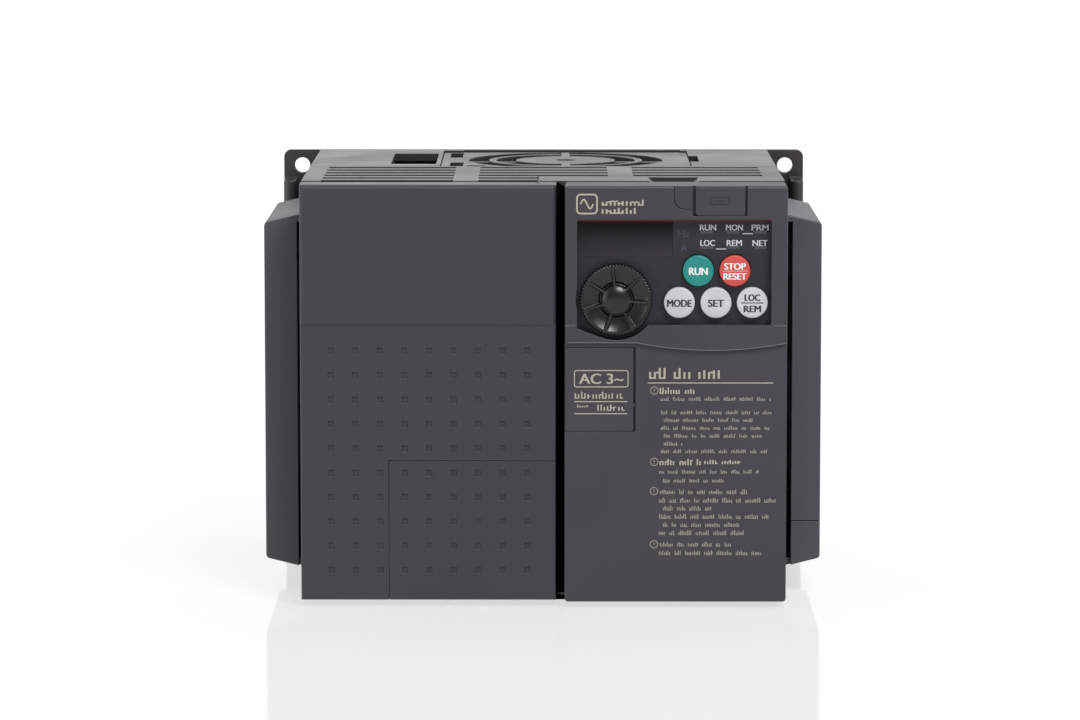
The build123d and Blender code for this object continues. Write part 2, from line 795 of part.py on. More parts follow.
def main_terminal_block():
    strip = block(-65.0, -5.0, -36.0, power_board_y[0], 11.0, 30.0)
    for number in range(10):
        barrier = terminal_pole_x(number) - 3.25
        strip += block(barrier - 0.6, barrier + 0.6, -43.0, -36.0, 11.0, 30.0)
    for number in range(9):
        strip -= rod_y(terminal_pole_x(number), 18.0, 1.6, -37.0, -27.0)
    return strip


def main_terminal_screws():
    screws = []
    for number in range(9):
        x = terminal_pole_x(number)
        washer = block(x - 2.4, x + 2.4, -36.8, -36.0, 14.5, 21.5)
        head = rod_y(x, 18.0, 2.2, -39.0, -36.8)
        head -= block(x - 2.0, x + 2.0, -40.0, -38.2, 17.7, 18.3)
        screws.append(washer + head + rod_y(x, 18.0, 1.6, -36.0, -28.0))
    return group(screws)


def earth_plate():
    plate = block(-66.0, -34.0, -18.6, -17.0, wall, 9.0)
    for x in (-60.0, -40.0):
        plate -= rod_y(x, 6.0, 1.5, -20.0, -16.0)
    return plate


def earth_screws():
    screws = []
    for x in (-60.0, -40.0):
        screws.append(rod_y(x, 6.0, 2.6, -20.4, -18.6) + rod_y(x, 6.0, 1.5, -18.6, -14.0))
    return group(screws)


nodes = {
    "rear_casing": rear_casing,
    "heatsink": heatsink,
    "fan_cover": fan_cover,
    "fan_housing": fan_housing,
    "fan_stator": fan_stator,
    "fan_rotor": fan_rotor,
    "casing_screws": casing_screws,
    "front_housing": front_housing,
    "wiring_cover": wiring_cover,
    "left_side_cover": left_side_cover,
    "right_side_cover": right_side_upper,
    "right_side_lower_cover": right_side_lower,
    "left_front_cover": left_front_cover,
    "lower_access_cover": lower_access_cover,
    "right_front_cover": right_front_cover,
    "usb_cover_anchor": usb_cover_anchor,
    "usb_cover": usb_cover,
    "comm_port_cover": comm_port_cover,
    "keypad_bezel": keypad_bezel,
    "display_window": display_window,
    "display_module": display_module,
    "indicator_lamps": indicator_lamps,
    "key_switches": key_switches,
    "setting_dial": setting_dial,
    "encoder_shaft": encoder_shaft,
    "encoder_plunger": encoder_plunger,
    "encoder_body": encoder_body,
    "panel_board": panel_board,
    "usb_connector": usb_connector,
    "rj45_socket": rj45_socket,
    "control_frame": control_frame,
    "control_board": control_board,
    "control_terminal_block": control_terminal_block,
    "option_connector": option_connector,
    "panel_connector": panel_connector,
    "board_standoffs": board_standoffs,
    "board_screws": board_screws,
    "flat_cable": flat_cable,
    "power_board": power_board,
    "power_module": power_module,
    "thermal_pad": thermal_pad,
    "module_screws": module_screws,
    "bus_capacitors": bus_capacitors,
    "inrush_relay": inrush_relay,
    "switching_transformer": switching_transformer,
    "choke_coil": choke_coil,
    "film_capacitor": film_capacitor,
    "current_sensors": current_sensors,
    "charge_lamp": charge_lamp,
    "main_terminal_block": main_terminal_block,
    "main_terminal_screws": main_terminal_screws,
    "earth_plate": earth_plate,
    "earth_screws": earth_screws,
}

os.makedirs("parts", exist_ok=True)
for name, make in nodes.items():
    export_step(make(), f"parts/{name}.step")
for name, (x, z) in buttons.items():
    export_step(button(x, z), f"parts/{name}.step")
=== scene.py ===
import json
import math
import random

import bmesh
import bpy
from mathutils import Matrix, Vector

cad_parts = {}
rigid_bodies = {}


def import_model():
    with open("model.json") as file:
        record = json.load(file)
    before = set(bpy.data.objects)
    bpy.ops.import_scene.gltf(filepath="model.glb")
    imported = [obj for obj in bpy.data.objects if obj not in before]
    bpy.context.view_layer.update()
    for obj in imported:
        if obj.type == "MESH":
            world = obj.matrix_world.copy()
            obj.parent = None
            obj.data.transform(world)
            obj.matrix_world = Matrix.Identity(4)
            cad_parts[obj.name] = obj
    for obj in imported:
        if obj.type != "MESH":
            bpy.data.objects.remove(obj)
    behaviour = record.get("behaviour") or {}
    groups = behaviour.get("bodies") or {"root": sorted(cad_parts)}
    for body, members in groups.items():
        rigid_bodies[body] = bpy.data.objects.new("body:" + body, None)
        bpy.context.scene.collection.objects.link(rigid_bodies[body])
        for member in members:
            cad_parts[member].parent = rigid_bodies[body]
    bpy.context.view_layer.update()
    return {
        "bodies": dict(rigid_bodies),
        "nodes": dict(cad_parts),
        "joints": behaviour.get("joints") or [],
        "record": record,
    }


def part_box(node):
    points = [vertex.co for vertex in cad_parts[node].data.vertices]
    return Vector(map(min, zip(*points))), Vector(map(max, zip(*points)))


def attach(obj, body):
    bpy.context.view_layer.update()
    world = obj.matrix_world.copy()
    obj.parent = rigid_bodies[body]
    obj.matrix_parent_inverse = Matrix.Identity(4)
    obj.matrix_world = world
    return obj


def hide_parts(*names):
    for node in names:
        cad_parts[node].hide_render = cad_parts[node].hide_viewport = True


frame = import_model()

nodes = frame["nodes"]
mm = 0.001


# small helpers for boxes, colours and node trees

def boxMm(node):
    # a node's low and high corners in millimetres
    low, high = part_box(node)
    return low / mm, high / mm


def paint(red, green, blue):
    # everyday 0-255 colour to the linear colour that a shader takes
    linear = []
    for value in (red, green, blue):
        v = value / 255
        linear.append(v / 12.92 if v <= 0.04045 else ((v + 0.055) / 1.055) ** 2.4)
    return (*linear, 1.0)


def newMaterial(name):
    material = bpy.data.materials.new(name)
    material.use_nodes = True
    tree = material.node_tree
    return material, tree, tree.nodes["Principled BSDF"]


def addNode(tree, kind, **values):
    node = tree.nodes.new(kind)
    for key, value in values.items():
        if hasattr(node, key):
            setattr(node, key, value)
        else:
            node.inputs[key.replace("_", " ").title()].default_value = value
    return node


def noiseOf(tree, size, detail=2.0, stretch=(1.0, 1.0, 1.0)):
    # noise whose lumps are about size metres across, in the drive's own frame
    place = addNode(tree, "ShaderNodeTexCoord")
    scale = addNode(tree, "ShaderNodeMapping")
    scale.inputs["Scale"].default_value = stretch
    noise = addNode(tree, "ShaderNodeTexNoise")
    noise.inputs["Scale"].default_value = 1.0 / size
    noise.inputs["Detail"].default_value = detail
    tree.links.new(place.outputs["Object"], scale.inputs["Vector"])
    tree.links.new(scale.outputs["Vector"], noise.inputs["Vector"])
    return noise.outputs["Fac"]


def ranged(tree, value, low, high, outLow, outHigh):
    node = addNode(tree, "ShaderNodeMapRange")
    tree.links.new(value, node.inputs["Value"])
    node.inputs["From Min"].default_value = low
    node.inputs["From Max"].default_value = high
    node.inputs["To Min"].default_value = outLow
    node.inputs["To Max"].default_value = outHigh
    return node.outputs["Result"]


def mixed(tree, share, first, second):
    node = addNode(tree, "ShaderNodeMix", data_type="RGBA")
    tree.links.new(share, node.inputs["Factor"])
    for value, place in ((first, "A"), (second, "B")):
        target = [s for s in node.inputs if s.name == place and s.type == "RGBA"][0]
        if isinstance(value, tuple):
            target.default_value = value
        else:
            tree.links.new(value, target)
    return [s for s in node.outputs if s.type == "RGBA"][0]


def multiplied(tree, first, second):
    node = addNode(tree, "ShaderNodeMath", operation="MULTIPLY")
    tree.links.new(first, node.inputs[0])
    if isinstance(second, float):
        node.inputs[1].default_value = second
    else:
        tree.links.new(second, node.inputs[1])
    return node.outputs[0]


def softEdge(tree, radius):
    # rounded-looking edges, and a mask that is 1 on them
    bevel = addNode(tree, "ShaderNodeBevel", samples=6)
    bevel.inputs["Radius"].default_value = radius
    face = addNode(tree, "ShaderNodeNewGeometry")
    dot = addNode(tree, "ShaderNodeVectorMath", operation="DOT_PRODUCT")
    tree.links.new(bevel.outputs["Normal"], dot.inputs[0])
    tree.links.new(face.outputs["Normal"], dot.inputs[1])
    mask = ranged(tree, dot.outputs["Value"], 0.995, 0.86, 0.0, 1.0)
    return bevel.outputs["Normal"], mask


def bumped(tree, height, strength, distance, normal=None):
    node = addNode(tree, "ShaderNodeBump")
    node.inputs["Strength"].default_value = strength
    node.inputs["Distance"].default_value = distance
    tree.links.new(height, node.inputs["Height"])
    if normal is not None:
        tree.links.new(normal, node.inputs["Normal"])
    return node.outputs["Normal"]


def mouldedPlastic(name, look):
    # moulded thermoplastic: spark-eroded grain, faint flow clouds, edges painted paler, partly as rubbed
    # wear and partly as a painted edge highlight
    material, tree, shader = newMaterial(name)
    grain = noiseOf(tree, look["grain"] * mm, 3.0)
    cloud = noiseOf(tree, look["cloud"] * mm, 2.0)
    normal, edge = softEdge(tree, look["edgeRadius"] * mm)
    base = paint(*look["colour"])
    dark = tuple(c * 0.88 for c in base[:3]) + (1.0,)
    wearAndHighlightTone = paint(*look["wearAndHighlightColour"])
    body = mixed(tree, ranged(tree, cloud, 0.3, 0.7, 0.0, 1.0), dark, base)
    patchy = ranged(tree, grain, 0.2, 0.6, 0.5, 1.0)
    # edge mask: the paler edges stand for rubbed wear and for a painted highlight on the rounded edges
    wearAndHighlightMask = multiplied(tree, multiplied(tree, edge, look["wearAndHighlightAmount"]), patchy)
    tree.links.new(mixed(tree, wearAndHighlightMask, body, wearAndHighlightTone), shader.inputs["Base Color"])
    low, high = look["rough"]
    tree.links.new(ranged(tree, cloud, 0.3, 0.7, low, high), shader.inputs["Roughness"])
    tree.links.new(bumped(tree, grain, look["bump"], 0.05 * mm, normal), shader.inputs["Normal"])
    shader.inputs["Specular IOR Level"].default_value = look["gloss"]
    shader.inputs["Specular Tint"].default_value = (*look.get("sheenTint", (1.0, 1.0, 1.0)), 1.0)
    return material


def brushedMetal(name, look):
    # bare metal with drawn or milled lines along one axis
    material, tree, shader = newMaterial(name)
    lines = noiseOf(tree, look["line"] * mm, 3.0, look["along"])
    cloud = noiseOf(tree, 9 * mm, 2.0)
    normal, edge = softEdge(tree, 0.25 * mm)
    base = paint(*look["colour"])
    dull = tuple(c * 0.72 for c in base[:3]) + (1.0,)
    colour = mixed(tree, ranged(tree, cloud, 0.3, 0.7, 0.0, 1.0), dull, base)
    tree.links.new(colour, shader.inputs["Base Color"])
    shader.inputs["Metallic"].default_value = 1.0
    low, high = look["rough"]
    tree.links.new(ranged(tree, lines, 0.25, 0.75, low, high), shader.inputs["Roughness"])
    tree.links.new(bumped(tree, lines, 0.25, 0.03 * mm, normal), shader.inputs["Normal"])
    return material


def printedInk(name, colour, roughness):
    # pad-printed ink: slightly uneven cover and gloss
    material, tree, shader = newMaterial(name)
    speck = noiseOf(tree, 0.22 * mm, 2.0)
    base = paint(*colour)
    thin = tuple(c * 0.86 for c in base[:3]) + (1.0,)
    cover = mixed(tree, ranged(tree, speck, 0.35, 0.65, 0.0, 1.0), thin, base)
    tree.links.new(cover, shader.inputs["Base Color"])
    uneven = ranged(tree, speck, 0.3, 0.7, roughness - 0.06, roughness + 0.06)
    tree.links.new(uneven, shader.inputs["Roughness"])
    tree.links.new(bumped(tree, speck, 0.1, 0.01 * mm), shader.inputs["Normal"])
    return material


def circuitBoard(name, look):
    # solder mask with faint copper tracks under it
    material, tree, shader = newMaterial(name)
    place = addNode(tree, "ShaderNodeTexCoord")
    cells = addNode(tree, "ShaderNodeTexVoronoi", distance="MANHATTAN", feature="DISTANCE_TO_EDGE")
    cells.inputs["Scale"].default_value = 1.0 / (look["track"] * mm)
    tree.links.new(place.outputs["Object"], cells.inputs["Vector"])
    track = ranged(tree, cells.outputs["Distance"], 0.04, 0.07, 1.0, 0.0)
    colour = mixed(tree, track, paint(*look["colour"]), paint(*look["trackColour"]))
    tree.links.new(colour, shader.inputs["Base Color"])
    speck = noiseOf(tree, 0.5 * mm, 2.0)
    tree.links.new(ranged(tree, speck, 0.3, 0.7, 0.22, 0.36), shader.inputs["Roughness"])
    tree.links.new(bumped(tree, track, 0.3, 0.03 * mm), shader.inputs["Normal"])
    return material


def smokedWindow(name, look):
    # tinted sheet over the display, with a painted shadow darkening it towards its top edge under the
    # window's top wall, polished and a little dusty
    material, tree, shader = newMaterial(name)
    dust = noiseOf(tree, 0.4 * mm, 3.0)
    cloud = noiseOf(tree, 14 * mm, 1.0)
    base = paint(*look["colour"])
    light = tuple(c * 1.12 for c in base[:3]) + (1.0,)
    tint = mixed(tree, ranged(tree, cloud, 0.3, 0.7, 0.0, 1.0), base, light)
    place = addNode(tree, "ShaderNodeTexCoord")
    parts = addNode(tree, "ShaderNodeSeparateXYZ")
    tree.links.new(place.outputs["Object"], parts.inputs["Vector"])
    # painted shadow: the colour runs to near black towards the top edge
    start, end = (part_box(look["node"])[0].z + height * mm for height in look["shadowFade"])
    shadowFade = ranged(tree, parts.outputs["Z"], start, end, 0.0, 1.0)
    tree.links.new(mixed(tree, shadowFade, tint, paint(*look["shadowTopColour"])), shader.inputs["Base Color"])
    tree.links.new(ranged(tree, dust, 0.4, 0.75, 0.16, 0.34), shader.inputs["Roughness"])
    tree.links.new(bumped(tree, dust, 0.04, 0.01 * mm), shader.inputs["Normal"])
    shader.inputs["Specular IOR Level"].default_value = look["gloss"]
    return material


# millimetres for grain, cloud and edgeRadius; each plastic lists only what differs from the usual one
# the paler edge colour and its amount stand partly for rubbed wear and partly for a painted edge highlight
usualPlastic = {"rough": (0.42, 0.5), "grain": 0.3, "cloud": 10, "edgeRadius": 0.2, "wearAndHighlightAmount": 0.3,
                "bump": 0.1, "gloss": 0.5}
plastics = {
    "coverPlastic": {"colour": (54, 52, 57), "wearAndHighlightColour": (104, 104, 108), "grain": 0.32, "cloud": 38,
                     "wearAndHighlightAmount": 0.55, "bump": 0.16},
    "rightPlastic": {"colour": (58, 56, 61), "wearAndHighlightColour": (106, 106, 109), "grain": 0.32, "cloud": 38,
                     "wearAndHighlightAmount": 0.55, "bump": 0.16},
    "wingPlastic": {"colour": (74, 72, 77), "wearAndHighlightColour": (104, 104, 108), "rough": (0.4, 0.48),
                    "grain": 0.36, "cloud": 30, "edgeRadius": 0.3, "wearAndHighlightAmount": 0.4, "bump": 0.18},
    "housingPlastic": {"colour": (58, 56, 58), "wearAndHighlightColour": (96, 95, 98), "rough": (0.3, 0.4),
                       "grain": 0.4, "cloud": 30, "edgeRadius": 0.35, "wearAndHighlightAmount": 0.4, "bump": 0.16,
                       "gloss": 0.55, "sheenTint": (1.0, 0.93, 0.89)},
    "casingPlastic": {"colour": (52, 51, 52), "wearAndHighlightColour": (92, 91, 94), "rough": (0.28, 0.38),
                      "grain": 0.45, "cloud": 26, "edgeRadius": 0.45, "wearAndHighlightAmount": 0.4, "bump": 0.2,
                      "gloss": 0.6, "sheenTint": (1.0, 0.93, 0.89)},
    "fanPlastic": {"colour": (38, 38, 41), "wearAndHighlightColour": (86, 86, 90), "rough": (0.34, 0.46),
                   "grain": 0.5, "cloud": 20, "edgeRadius": 0.3, "bump": 0.12},
    "bezelPlastic": {"colour": (34, 36, 43), "wearAndHighlightColour": (74, 76, 84), "grain": 0.28, "cloud": 24,
                     "wearAndHighlightAmount": 0.25, "gloss": 0.45},
    "dialPlastic": {"colour": (13, 13, 14), "wearAndHighlightColour": (84, 84, 84), "rough": (0.24, 0.32),
                    "grain": 0.4, "cloud": 9, "edgeRadius": 0.22, "wearAndHighlightAmount": 0.35, "bump": 0.12,
                    "gloss": 0.55},
    "startGreen": {"colour": (27, 138, 131), "wearAndHighlightColour": (104, 186, 174), "cloud": 8,
                   "edgeRadius": 0.25, "bump": 0.08},
    "stopRed": {"colour": (211, 78, 72), "wearAndHighlightColour": (242, 140, 136), "cloud": 8, "edgeRadius": 0.25,
                "bump": 0.08},
    "keyWhite": {"colour": (200, 200, 202), "wearAndHighlightColour": (206, 206, 204), "cloud": 8, "edgeRadius": 0.25,
                 "wearAndHighlightAmount": 0.2, "bump": 0.08},
    "partBlack": {"colour": (34, 34, 36), "wearAndHighlightColour": (70, 70, 72), "rough": (0.36, 0.5), "cloud": 12,
                  "wearAndHighlightAmount": 0.25},
    "terminalGrey": {"colour": (92, 92, 92), "wearAndHighlightColour": (128, 128, 128), "rough": (0.4, 0.52),
                     "cloud": 12, "wearAndHighlightAmount": 0.25},
    "sleeveBlue": {"colour": (26, 36, 68), "wearAndHighlightColour": (58, 70, 104), "rough": (0.2, 0.32),
                   "grain": 0.8, "cloud": 14, "edgeRadius": 0.3, "bump": 0.08, "gloss": 0.6},
    "ferriteGrey": {"colour": (62, 62, 62), "wearAndHighlightColour": (96, 96, 96), "rough": (0.5, 0.62),
                    "grain": 0.25, "bump": 0.25, "gloss": 0.4},
    "filmYellow": {"colour": (196, 158, 44), "wearAndHighlightColour": (220, 196, 110), "rough": (0.26, 0.36),
                   "grain": 0.5, "edgeRadius": 0.25, "bump": 0.08},
    "padWhite": {"colour": (196, 196, 190), "wearAndHighlightColour": (214, 214, 210), "rough": (0.6, 0.72),
                 "grain": 0.5, "edgeRadius": 0.15, "wearAndHighlightAmount": 0.2, "bump": 0.2, "gloss": 0.3},
    "cableGrey": {"colour": (150, 150, 152), "wearAndHighlightColour": (172, 172, 174), "rough": (0.5, 0.6),
                  "grain": 0.4, "edgeRadius": 0.15, "wearAndHighlightAmount": 0.2, "bump": 0.12, "gloss": 0.4},
    # painted shade: near-black matt finish for the floor of the deep groove between the front covers
    "grooveShadeBlack": {"colour": (9, 9, 9), "wearAndHighlightColour": (20, 20, 20), "rough": (0.8, 0.9), "grain": 0.5,
                    "cloud": 12, "wearAndHighlightAmount": 0.2, "bump": 0.2, "gloss": 0.04},
    "lampLens": {"colour": (64, 66, 72), "wearAndHighlightColour": (96, 98, 106), "rough": (0.22, 0.32), "cloud": 5,
                 "edgeRadius": 0.12, "bump": 0.05, "gloss": 0.6},
    "chargeRed": {"colour": (170, 24, 24), "wearAndHighlightColour": (214, 90, 84), "rough": (0.12, 0.22), "cloud": 5,
                  "edgeRadius": 0.3, "bump": 0.04, "gloss": 0.6},
}
metals = {
    "finAluminium": {"colour": (196, 197, 199), "rough": (0.28, 0.46), "line": 0.5,
                     "along": (1.0, 1.0, 0.04)},
    "screwSteel": {"colour": (190, 189, 184), "rough": (0.24, 0.4), "line": 0.3, "along": (1.0, 1.0, 0.2)},
    "windingCopper": {"colour": (186, 104, 62), "rough": (0.24, 0.36), "line": 0.35,
                      "along": (0.15, 1.0, 0.15)},
}
# colour and roughness of each ink, and of the painted highlight line along the lip and the ledges
inks = {
    "printInk": ((176, 171, 160), 0.5), "printFine": ((150, 146, 137), 0.5),
    "keypadInk": ((206, 207, 210), 0.45), "keyInkDark": ((44, 44, 48), 0.5),
    "keyInkWhite": ((238, 240, 240), 0.5), "lipHighlightInk": ((112, 112, 116), 0.4),
    # the port sign's dark colour is painted shade of an embossed mark
    "portReliefShade": ((28, 28, 30), 0.5), "unitInk": ((62, 66, 80), 0.4), "trimRed": ((96, 18, 30), 0.4),
}
boardLook = {"colour": (22, 92, 52), "trackColour": (44, 124, 72), "track": 3.2}
# the painted shadow at the window's top runs between two heights above the window's lower edge, in
# millimetres
windowLook = {"node": "display_window", "colour": (50, 48, 51), "shadowTopColour": (3, 3, 4), "shadowFade": (0.3, 10.3),
              "gloss": 0.16}

finish = {name: mouldedPlastic(name, {**usualPlastic, **look}) for name, look in plastics.items()}
finish.update({name: brushedMetal(name, look) for name, look in metals.items()})
finish["boardGreen"] = circuitBoard("boardGreen", boardLook)
finish["windowSmoke"] = smokedWindow("windowSmoke", windowLook)
finish.update({name: printedInk(name, *look) for name, look in inks.items()})
print("finishes made:", len(finish))


# which finish each carried-over node gets
nodeFinish = {
    "rear_casing": "casingPlastic", "heatsink": "finAluminium", "fan_cover": "casingPlastic",
    "fan_housing": "fanPlastic", "fan_stator": "windingCopper", "fan_rotor": "fanPlastic",
    "casing_screws": "screwSteel", "front_housing": "housingPlastic", "wiring_cover": "housingPlastic",
    "left_side_cover": "wingPlastic", "right_side_cover": "wingPlastic",
    "right_side_lower_cover": "wingPlastic", "left_front_cover": "coverPlastic",
    "lower_access_cover": "coverPlastic", "right_front_cover": "rightPlastic",
    "usb_cover_anchor": "rightPlastic", "usb_cover": "rightPlastic", "comm_port_cover": "rightPlastic",
    "keypad_bezel": "bezelPlastic", "display_window": "windowSmoke", "display_module": "partBlack",
    "indicator_lamps": "lampLens", "key_switches": "partBlack", "setting_dial": "dialPlastic",
    "encoder_shaft": "screwSteel", "encoder_plunger": "partBlack", "encoder_body": "partBlack",
    "panel_board": "boardGreen", "usb_connector": "screwSteel", "rj45_socket": "partBlack",
    "control_frame": "housingPlastic", "control_board": "boardGreen",
    "control_terminal_block": "terminalGrey",
    "option_connector": "partBlack", "panel_connector": "partBlack", "board_standoffs": "screwSteel",
    "board_screws": "screwSteel", "flat_cable": "cableGrey", "power_board": "boardGreen",
    "power_module": "partBlack", "thermal_pad": "padWhite", "module_screws": "screwSteel",
    "bus_capacitors": "sleeveBlue", "inrush_relay": "partBlack", "switching_transformer": "ferriteGrey",
    "choke_coil": "windingCopper", "film_capacitor": "filmYellow", "current_sensors": "partBlack",
    "charge_lamp": "chargeRed", "main_terminal_block": "terminalGrey", "main_terminal_screws": "screwSteel",
    "earth_plate": "screwSteel", "earth_screws": "screwSteel", "run_button": "startGreen",
    "stop_reset_button": "stopRed", "mode_button": "keyWhite", "set_button": "keyWhite",
    "local_remote_button": "keyWhite",
}


def dressNodes():
    for name, finishName in nodeFinish.items():
        mesh = nodes[name].data
        mesh.materials.clear()
        mesh.materials.append(finish[finishName])


# how far the painted shade on the groove's floor reaches under each cover, and how deep in the housing it
# can lie
grooveShadeFloor = {"node": "front_housing", "underLeft": 1.0, "underRight": 2.0, "depth": 14.75}


def paintGrooveShade(look):
    # the strip of housing at the bottom of the groove between the front covers is painted matt black as
    # painted shade of the deep, narrow groove
    mesh = nodes[look["node"]].data
    mesh.materials.append(finish["grooveShadeBlack"])
    left = boxMm("left_front_cover")[1].x - look["underLeft"]
    right = boxMm("right_front_cover")[0].x + look["underRight"]
    deepest = boxMm(look["node"])[0].y + look["depth"]
    for face in mesh.polygons:
        middle = face.center / mm
        if face.normal.y < -0.9 and left < middle.x < right and middle.y < deepest:
            face.material_index = 1


dressNodes()
paintGrooveShade(grooveShadeFloor)
print("nodes dressed:", len(nodeFinish))


# mesh helpers

def addPiece(name, mesh, finishName, body, smooth=False):
    piece = bpy.data.objects.new(name, mesh)
    bpy.context.scene.collection.objects.link(piece)
    mesh.materials.clear()
    mesh.materials.append(finish[finishName])
    for face in mesh.polygons:
        face.use_smooth = smooth
    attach(piece, body)
    return piece


def addSlab(shape, low, high):
    corners = []
    for y in (low[1], high[1]):
        for x, z in ((low[0], low[2]), (high[0], low[2]), (high[0], high[2]), (low[0], high[2])):
            corners.append(shape.verts.new((x * mm, y * mm, z * mm)))
    front, back = corners[:4], corners[4:]
    shape.faces.new(front)
    shape.faces.new(back[::-1])
    for i in range(4):
        j = (i + 1) % 4
        shape.faces.new((front[i], back[i], back[j], front[j]))


def slabPiece(name, slabs, finishName, body):
    shape = bmesh.new()
    for low, high in slabs:
        addSlab(shape, low, high)
    bmesh.ops.recalc_face_normals(shape, faces=shape.faces)
    mesh = bpy.data.meshes.new(name)
    shape.to_mesh(mesh)
    shape.free()
    return addPiece(name, mesh, finishName, body)


def turnedMesh(name, rings, steps, centre, shapePoint):
    # rings of points round an axis along Y, closed by a point on the axis at each end
    shape = bmesh.new()
    rows = []
    for radius, depth in rings:
        row = []
        for step in range(steps):
            angle = 2 * math.pi * step / steps
            r, y = shapePoint(radius, depth, angle)
            place = (centre[0] + r * math.cos(angle), y, centre[1] + r * math.sin(angle))
            row.append(shape.verts.new(Vector(place) * mm))
        rows.append(row)
    for first, second in zip(rows, rows[1:]):
        for step in range(steps):
            after = (step + 1) % steps
            shape.faces.new((first[step], first[after], second[after], second[step]))
    for row in (rows[0], rows[-1]):
        middle = sum((v.co for v in row), Vector()) / steps
        tip = shape.verts.new(middle)
        for step in range(steps):
            shape.faces.new((tip, row[step], row[(step + 1) % steps]))
    bmesh.ops.recalc_face_normals(shape, faces=shape.faces)
    mesh = bpy.data.meshes.new(name)
    shape.to_mesh(mesh)
    shape.free()
    return mesh


copyStep = 0.006  # millimetres between the copies of a heavier letter


def letterPiece(name, words, place, size, finishName, body, heavier=0.0):
    # flat printed characters facing the front: place is x, front y and z of their middle, size is their
    # width and height; heavier adds two close copies, one each side, for a thicker stroke
    centreX, frontY, centreZ = place
    width, height = size
    curve = bpy.data.curves.new(name, "FONT")
    curve.body = words
    curve.align_x = "CENTER"
    temporary = bpy.data.objects.new(name + "Outline", curve)
    bpy.context.scene.collection.objects.link(temporary)
    bpy.context.view_layer.update()
    made = temporary.evaluated_get(bpy.context.evaluated_depsgraph_get())
    mesh = bpy.data.meshes.new_from_object(made)
    bpy.data.objects.remove(temporary)
    xs = [v.co.x for v in mesh.vertices]
    ys = [v.co.y for v in mesh.vertices]
    scaleX = (width - 2 * heavier) / (max(xs) - min(xs))
    scaleZ = height / (max(ys) - min(ys))
    midX, midZ = (max(xs) + min(xs)) / 2, (max(ys) + min(ys)) / 2
    shape = bmesh.new()
    shifts = (-heavier, 0.0, heavier) if heavier else (0.0,)
    for layer, shift in enumerate(shifts):
        corners = [shape.verts.new(((centreX + shift + (v.co.x - midX) * scaleX) * mm,
                                    (frontY - copyStep * layer) * mm,
                                    (centreZ + (v.co.y - midZ) * scaleZ) * mm)) for v in mesh.vertices]
        for face in mesh.polygons:
            shape.faces.new([corners[i] for i in face.vertices])
    bmesh.ops.recalc_face_normals(shape, faces=shape.faces)
    for face in shape.faces:
        if face.normal.y > 0:
            face.normal_flip()
    shape.to_mesh(mesh)
    shape.free()
    mesh.name = name
    return addPiece(name, mesh, finishName, body)


# the setting dial: a dished cap with a domed hub, ribs and a finely toothed rim.
# Pairs are a radius, or a distance out from the hub, and a depth behind the tip of the dome.
dialCap = {
    "node": "setting_dial", "body": "dial",
    "tip": 0.02, "hubRadius": 4.3, "domeRise": 1.15, "domeCurve": 2.7,
    "moat": ((0.12, 1.6), (0.2, 3.0), (0.78, 3.0), (0.92, 2.62)),
    "dishRadius": 9.75, "dishDepth": 2.58, "dishRise": 1.4, "dishCurve": 1.7,
    "rim": ((9.95, 1.14), (10.3, 1.2), (10.62, 1.36), (10.86, 1.62), (10.98, 1.95), (10.98, 2.6),
            (10.98, 3.85), (10.98, 4.75), (10.78, 4.95)),
    "inside": ((9.7, 4.95), (9.6, 3.45), (5.2, 3.45), (5.2, 4.95), (3.1, 4.95), (3.05, 1.85)),
    "ribs": 7, "ribStart": 96.4, "ribHalfWidth": 0.46, "ribDepth": 1.03, "ribEnd": 10.4, "ribFloor": 3.25,
    "teeth": 66, "toothRoot": 10.0, "toothDepth": 0.3, "toothBevel": 0.22, "bevelDepth": 1.9,
}


def dialRings(look, frontY):
    hub = look["hubRadius"]
    rings = [(look["tip"], frontY)]
    for i in range(1, 13):
        share = i / 12
        rings.append((hub * share, frontY + look["domeRise"] * share ** look["domeCurve"]))
    rings += [(hub + out, frontY + depth) for out, depth in look["moat"]]
    inner, outer = rings[-1][0], look["dishRadius"]
    for i in range(1, 15):
        share = i / 14
        depth = look["dishDepth"] - look["dishRise"] * share ** look["dishCurve"]
        rings.append((inner + (outer - inner) * share, frontY + depth))
    return rings + [(radius, frontY + depth) for radius, depth in look["rim"] + look["inside"]]


def makeDial(look):
    low, high = boxMm(look["node"])
    centre = ((low.x + high.x) / 2, (low.z + high.z) / 2)
    frontY = low.y
    ribStep = 2 * math.pi / look["ribs"]
    ribStart = math.radians(look["ribStart"])

    def shapePoint(radius, y, angle):
        # cuts the teeth into the rim and lifts the ribs out of the dish
        r = radius
        if radius > look["toothRoot"]:
            groove = (0.5 + 0.5 * math.cos(look["teeth"] * angle)) ** 1.6
            r -= look["toothDepth"] * groove * min(1.0, (radius - look["toothRoot"]) / 0.7)
            if y < frontY + look["bevelDepth"]:
                y += look["toothBevel"] * groove
        if look["hubRadius"] + 0.1 < radius < look["ribEnd"] and y < frontY + look["ribFloor"]:
            away = abs((angle - ribStart + ribStep / 2) % ribStep - ribStep / 2) * radius
            half = look["ribHalfWidth"]
            share = max(0.0, min(1.0, (half * 1.5 - away) / (half * 0.9)))
            share = share * share * (3 - 2 * share)
            y += (min(y, frontY + look["ribDepth"]) - y) * share
        return r, y

    mesh = turnedMesh("dialCap", dialRings(look, frontY), look["teeth"] * 10, centre, shapePoint)
    piece = addPiece("dialCap", mesh, "dialPlastic", look["body"], smooth=True)
    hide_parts(look["node"])


makeDial(dialCap)
print("dial made")


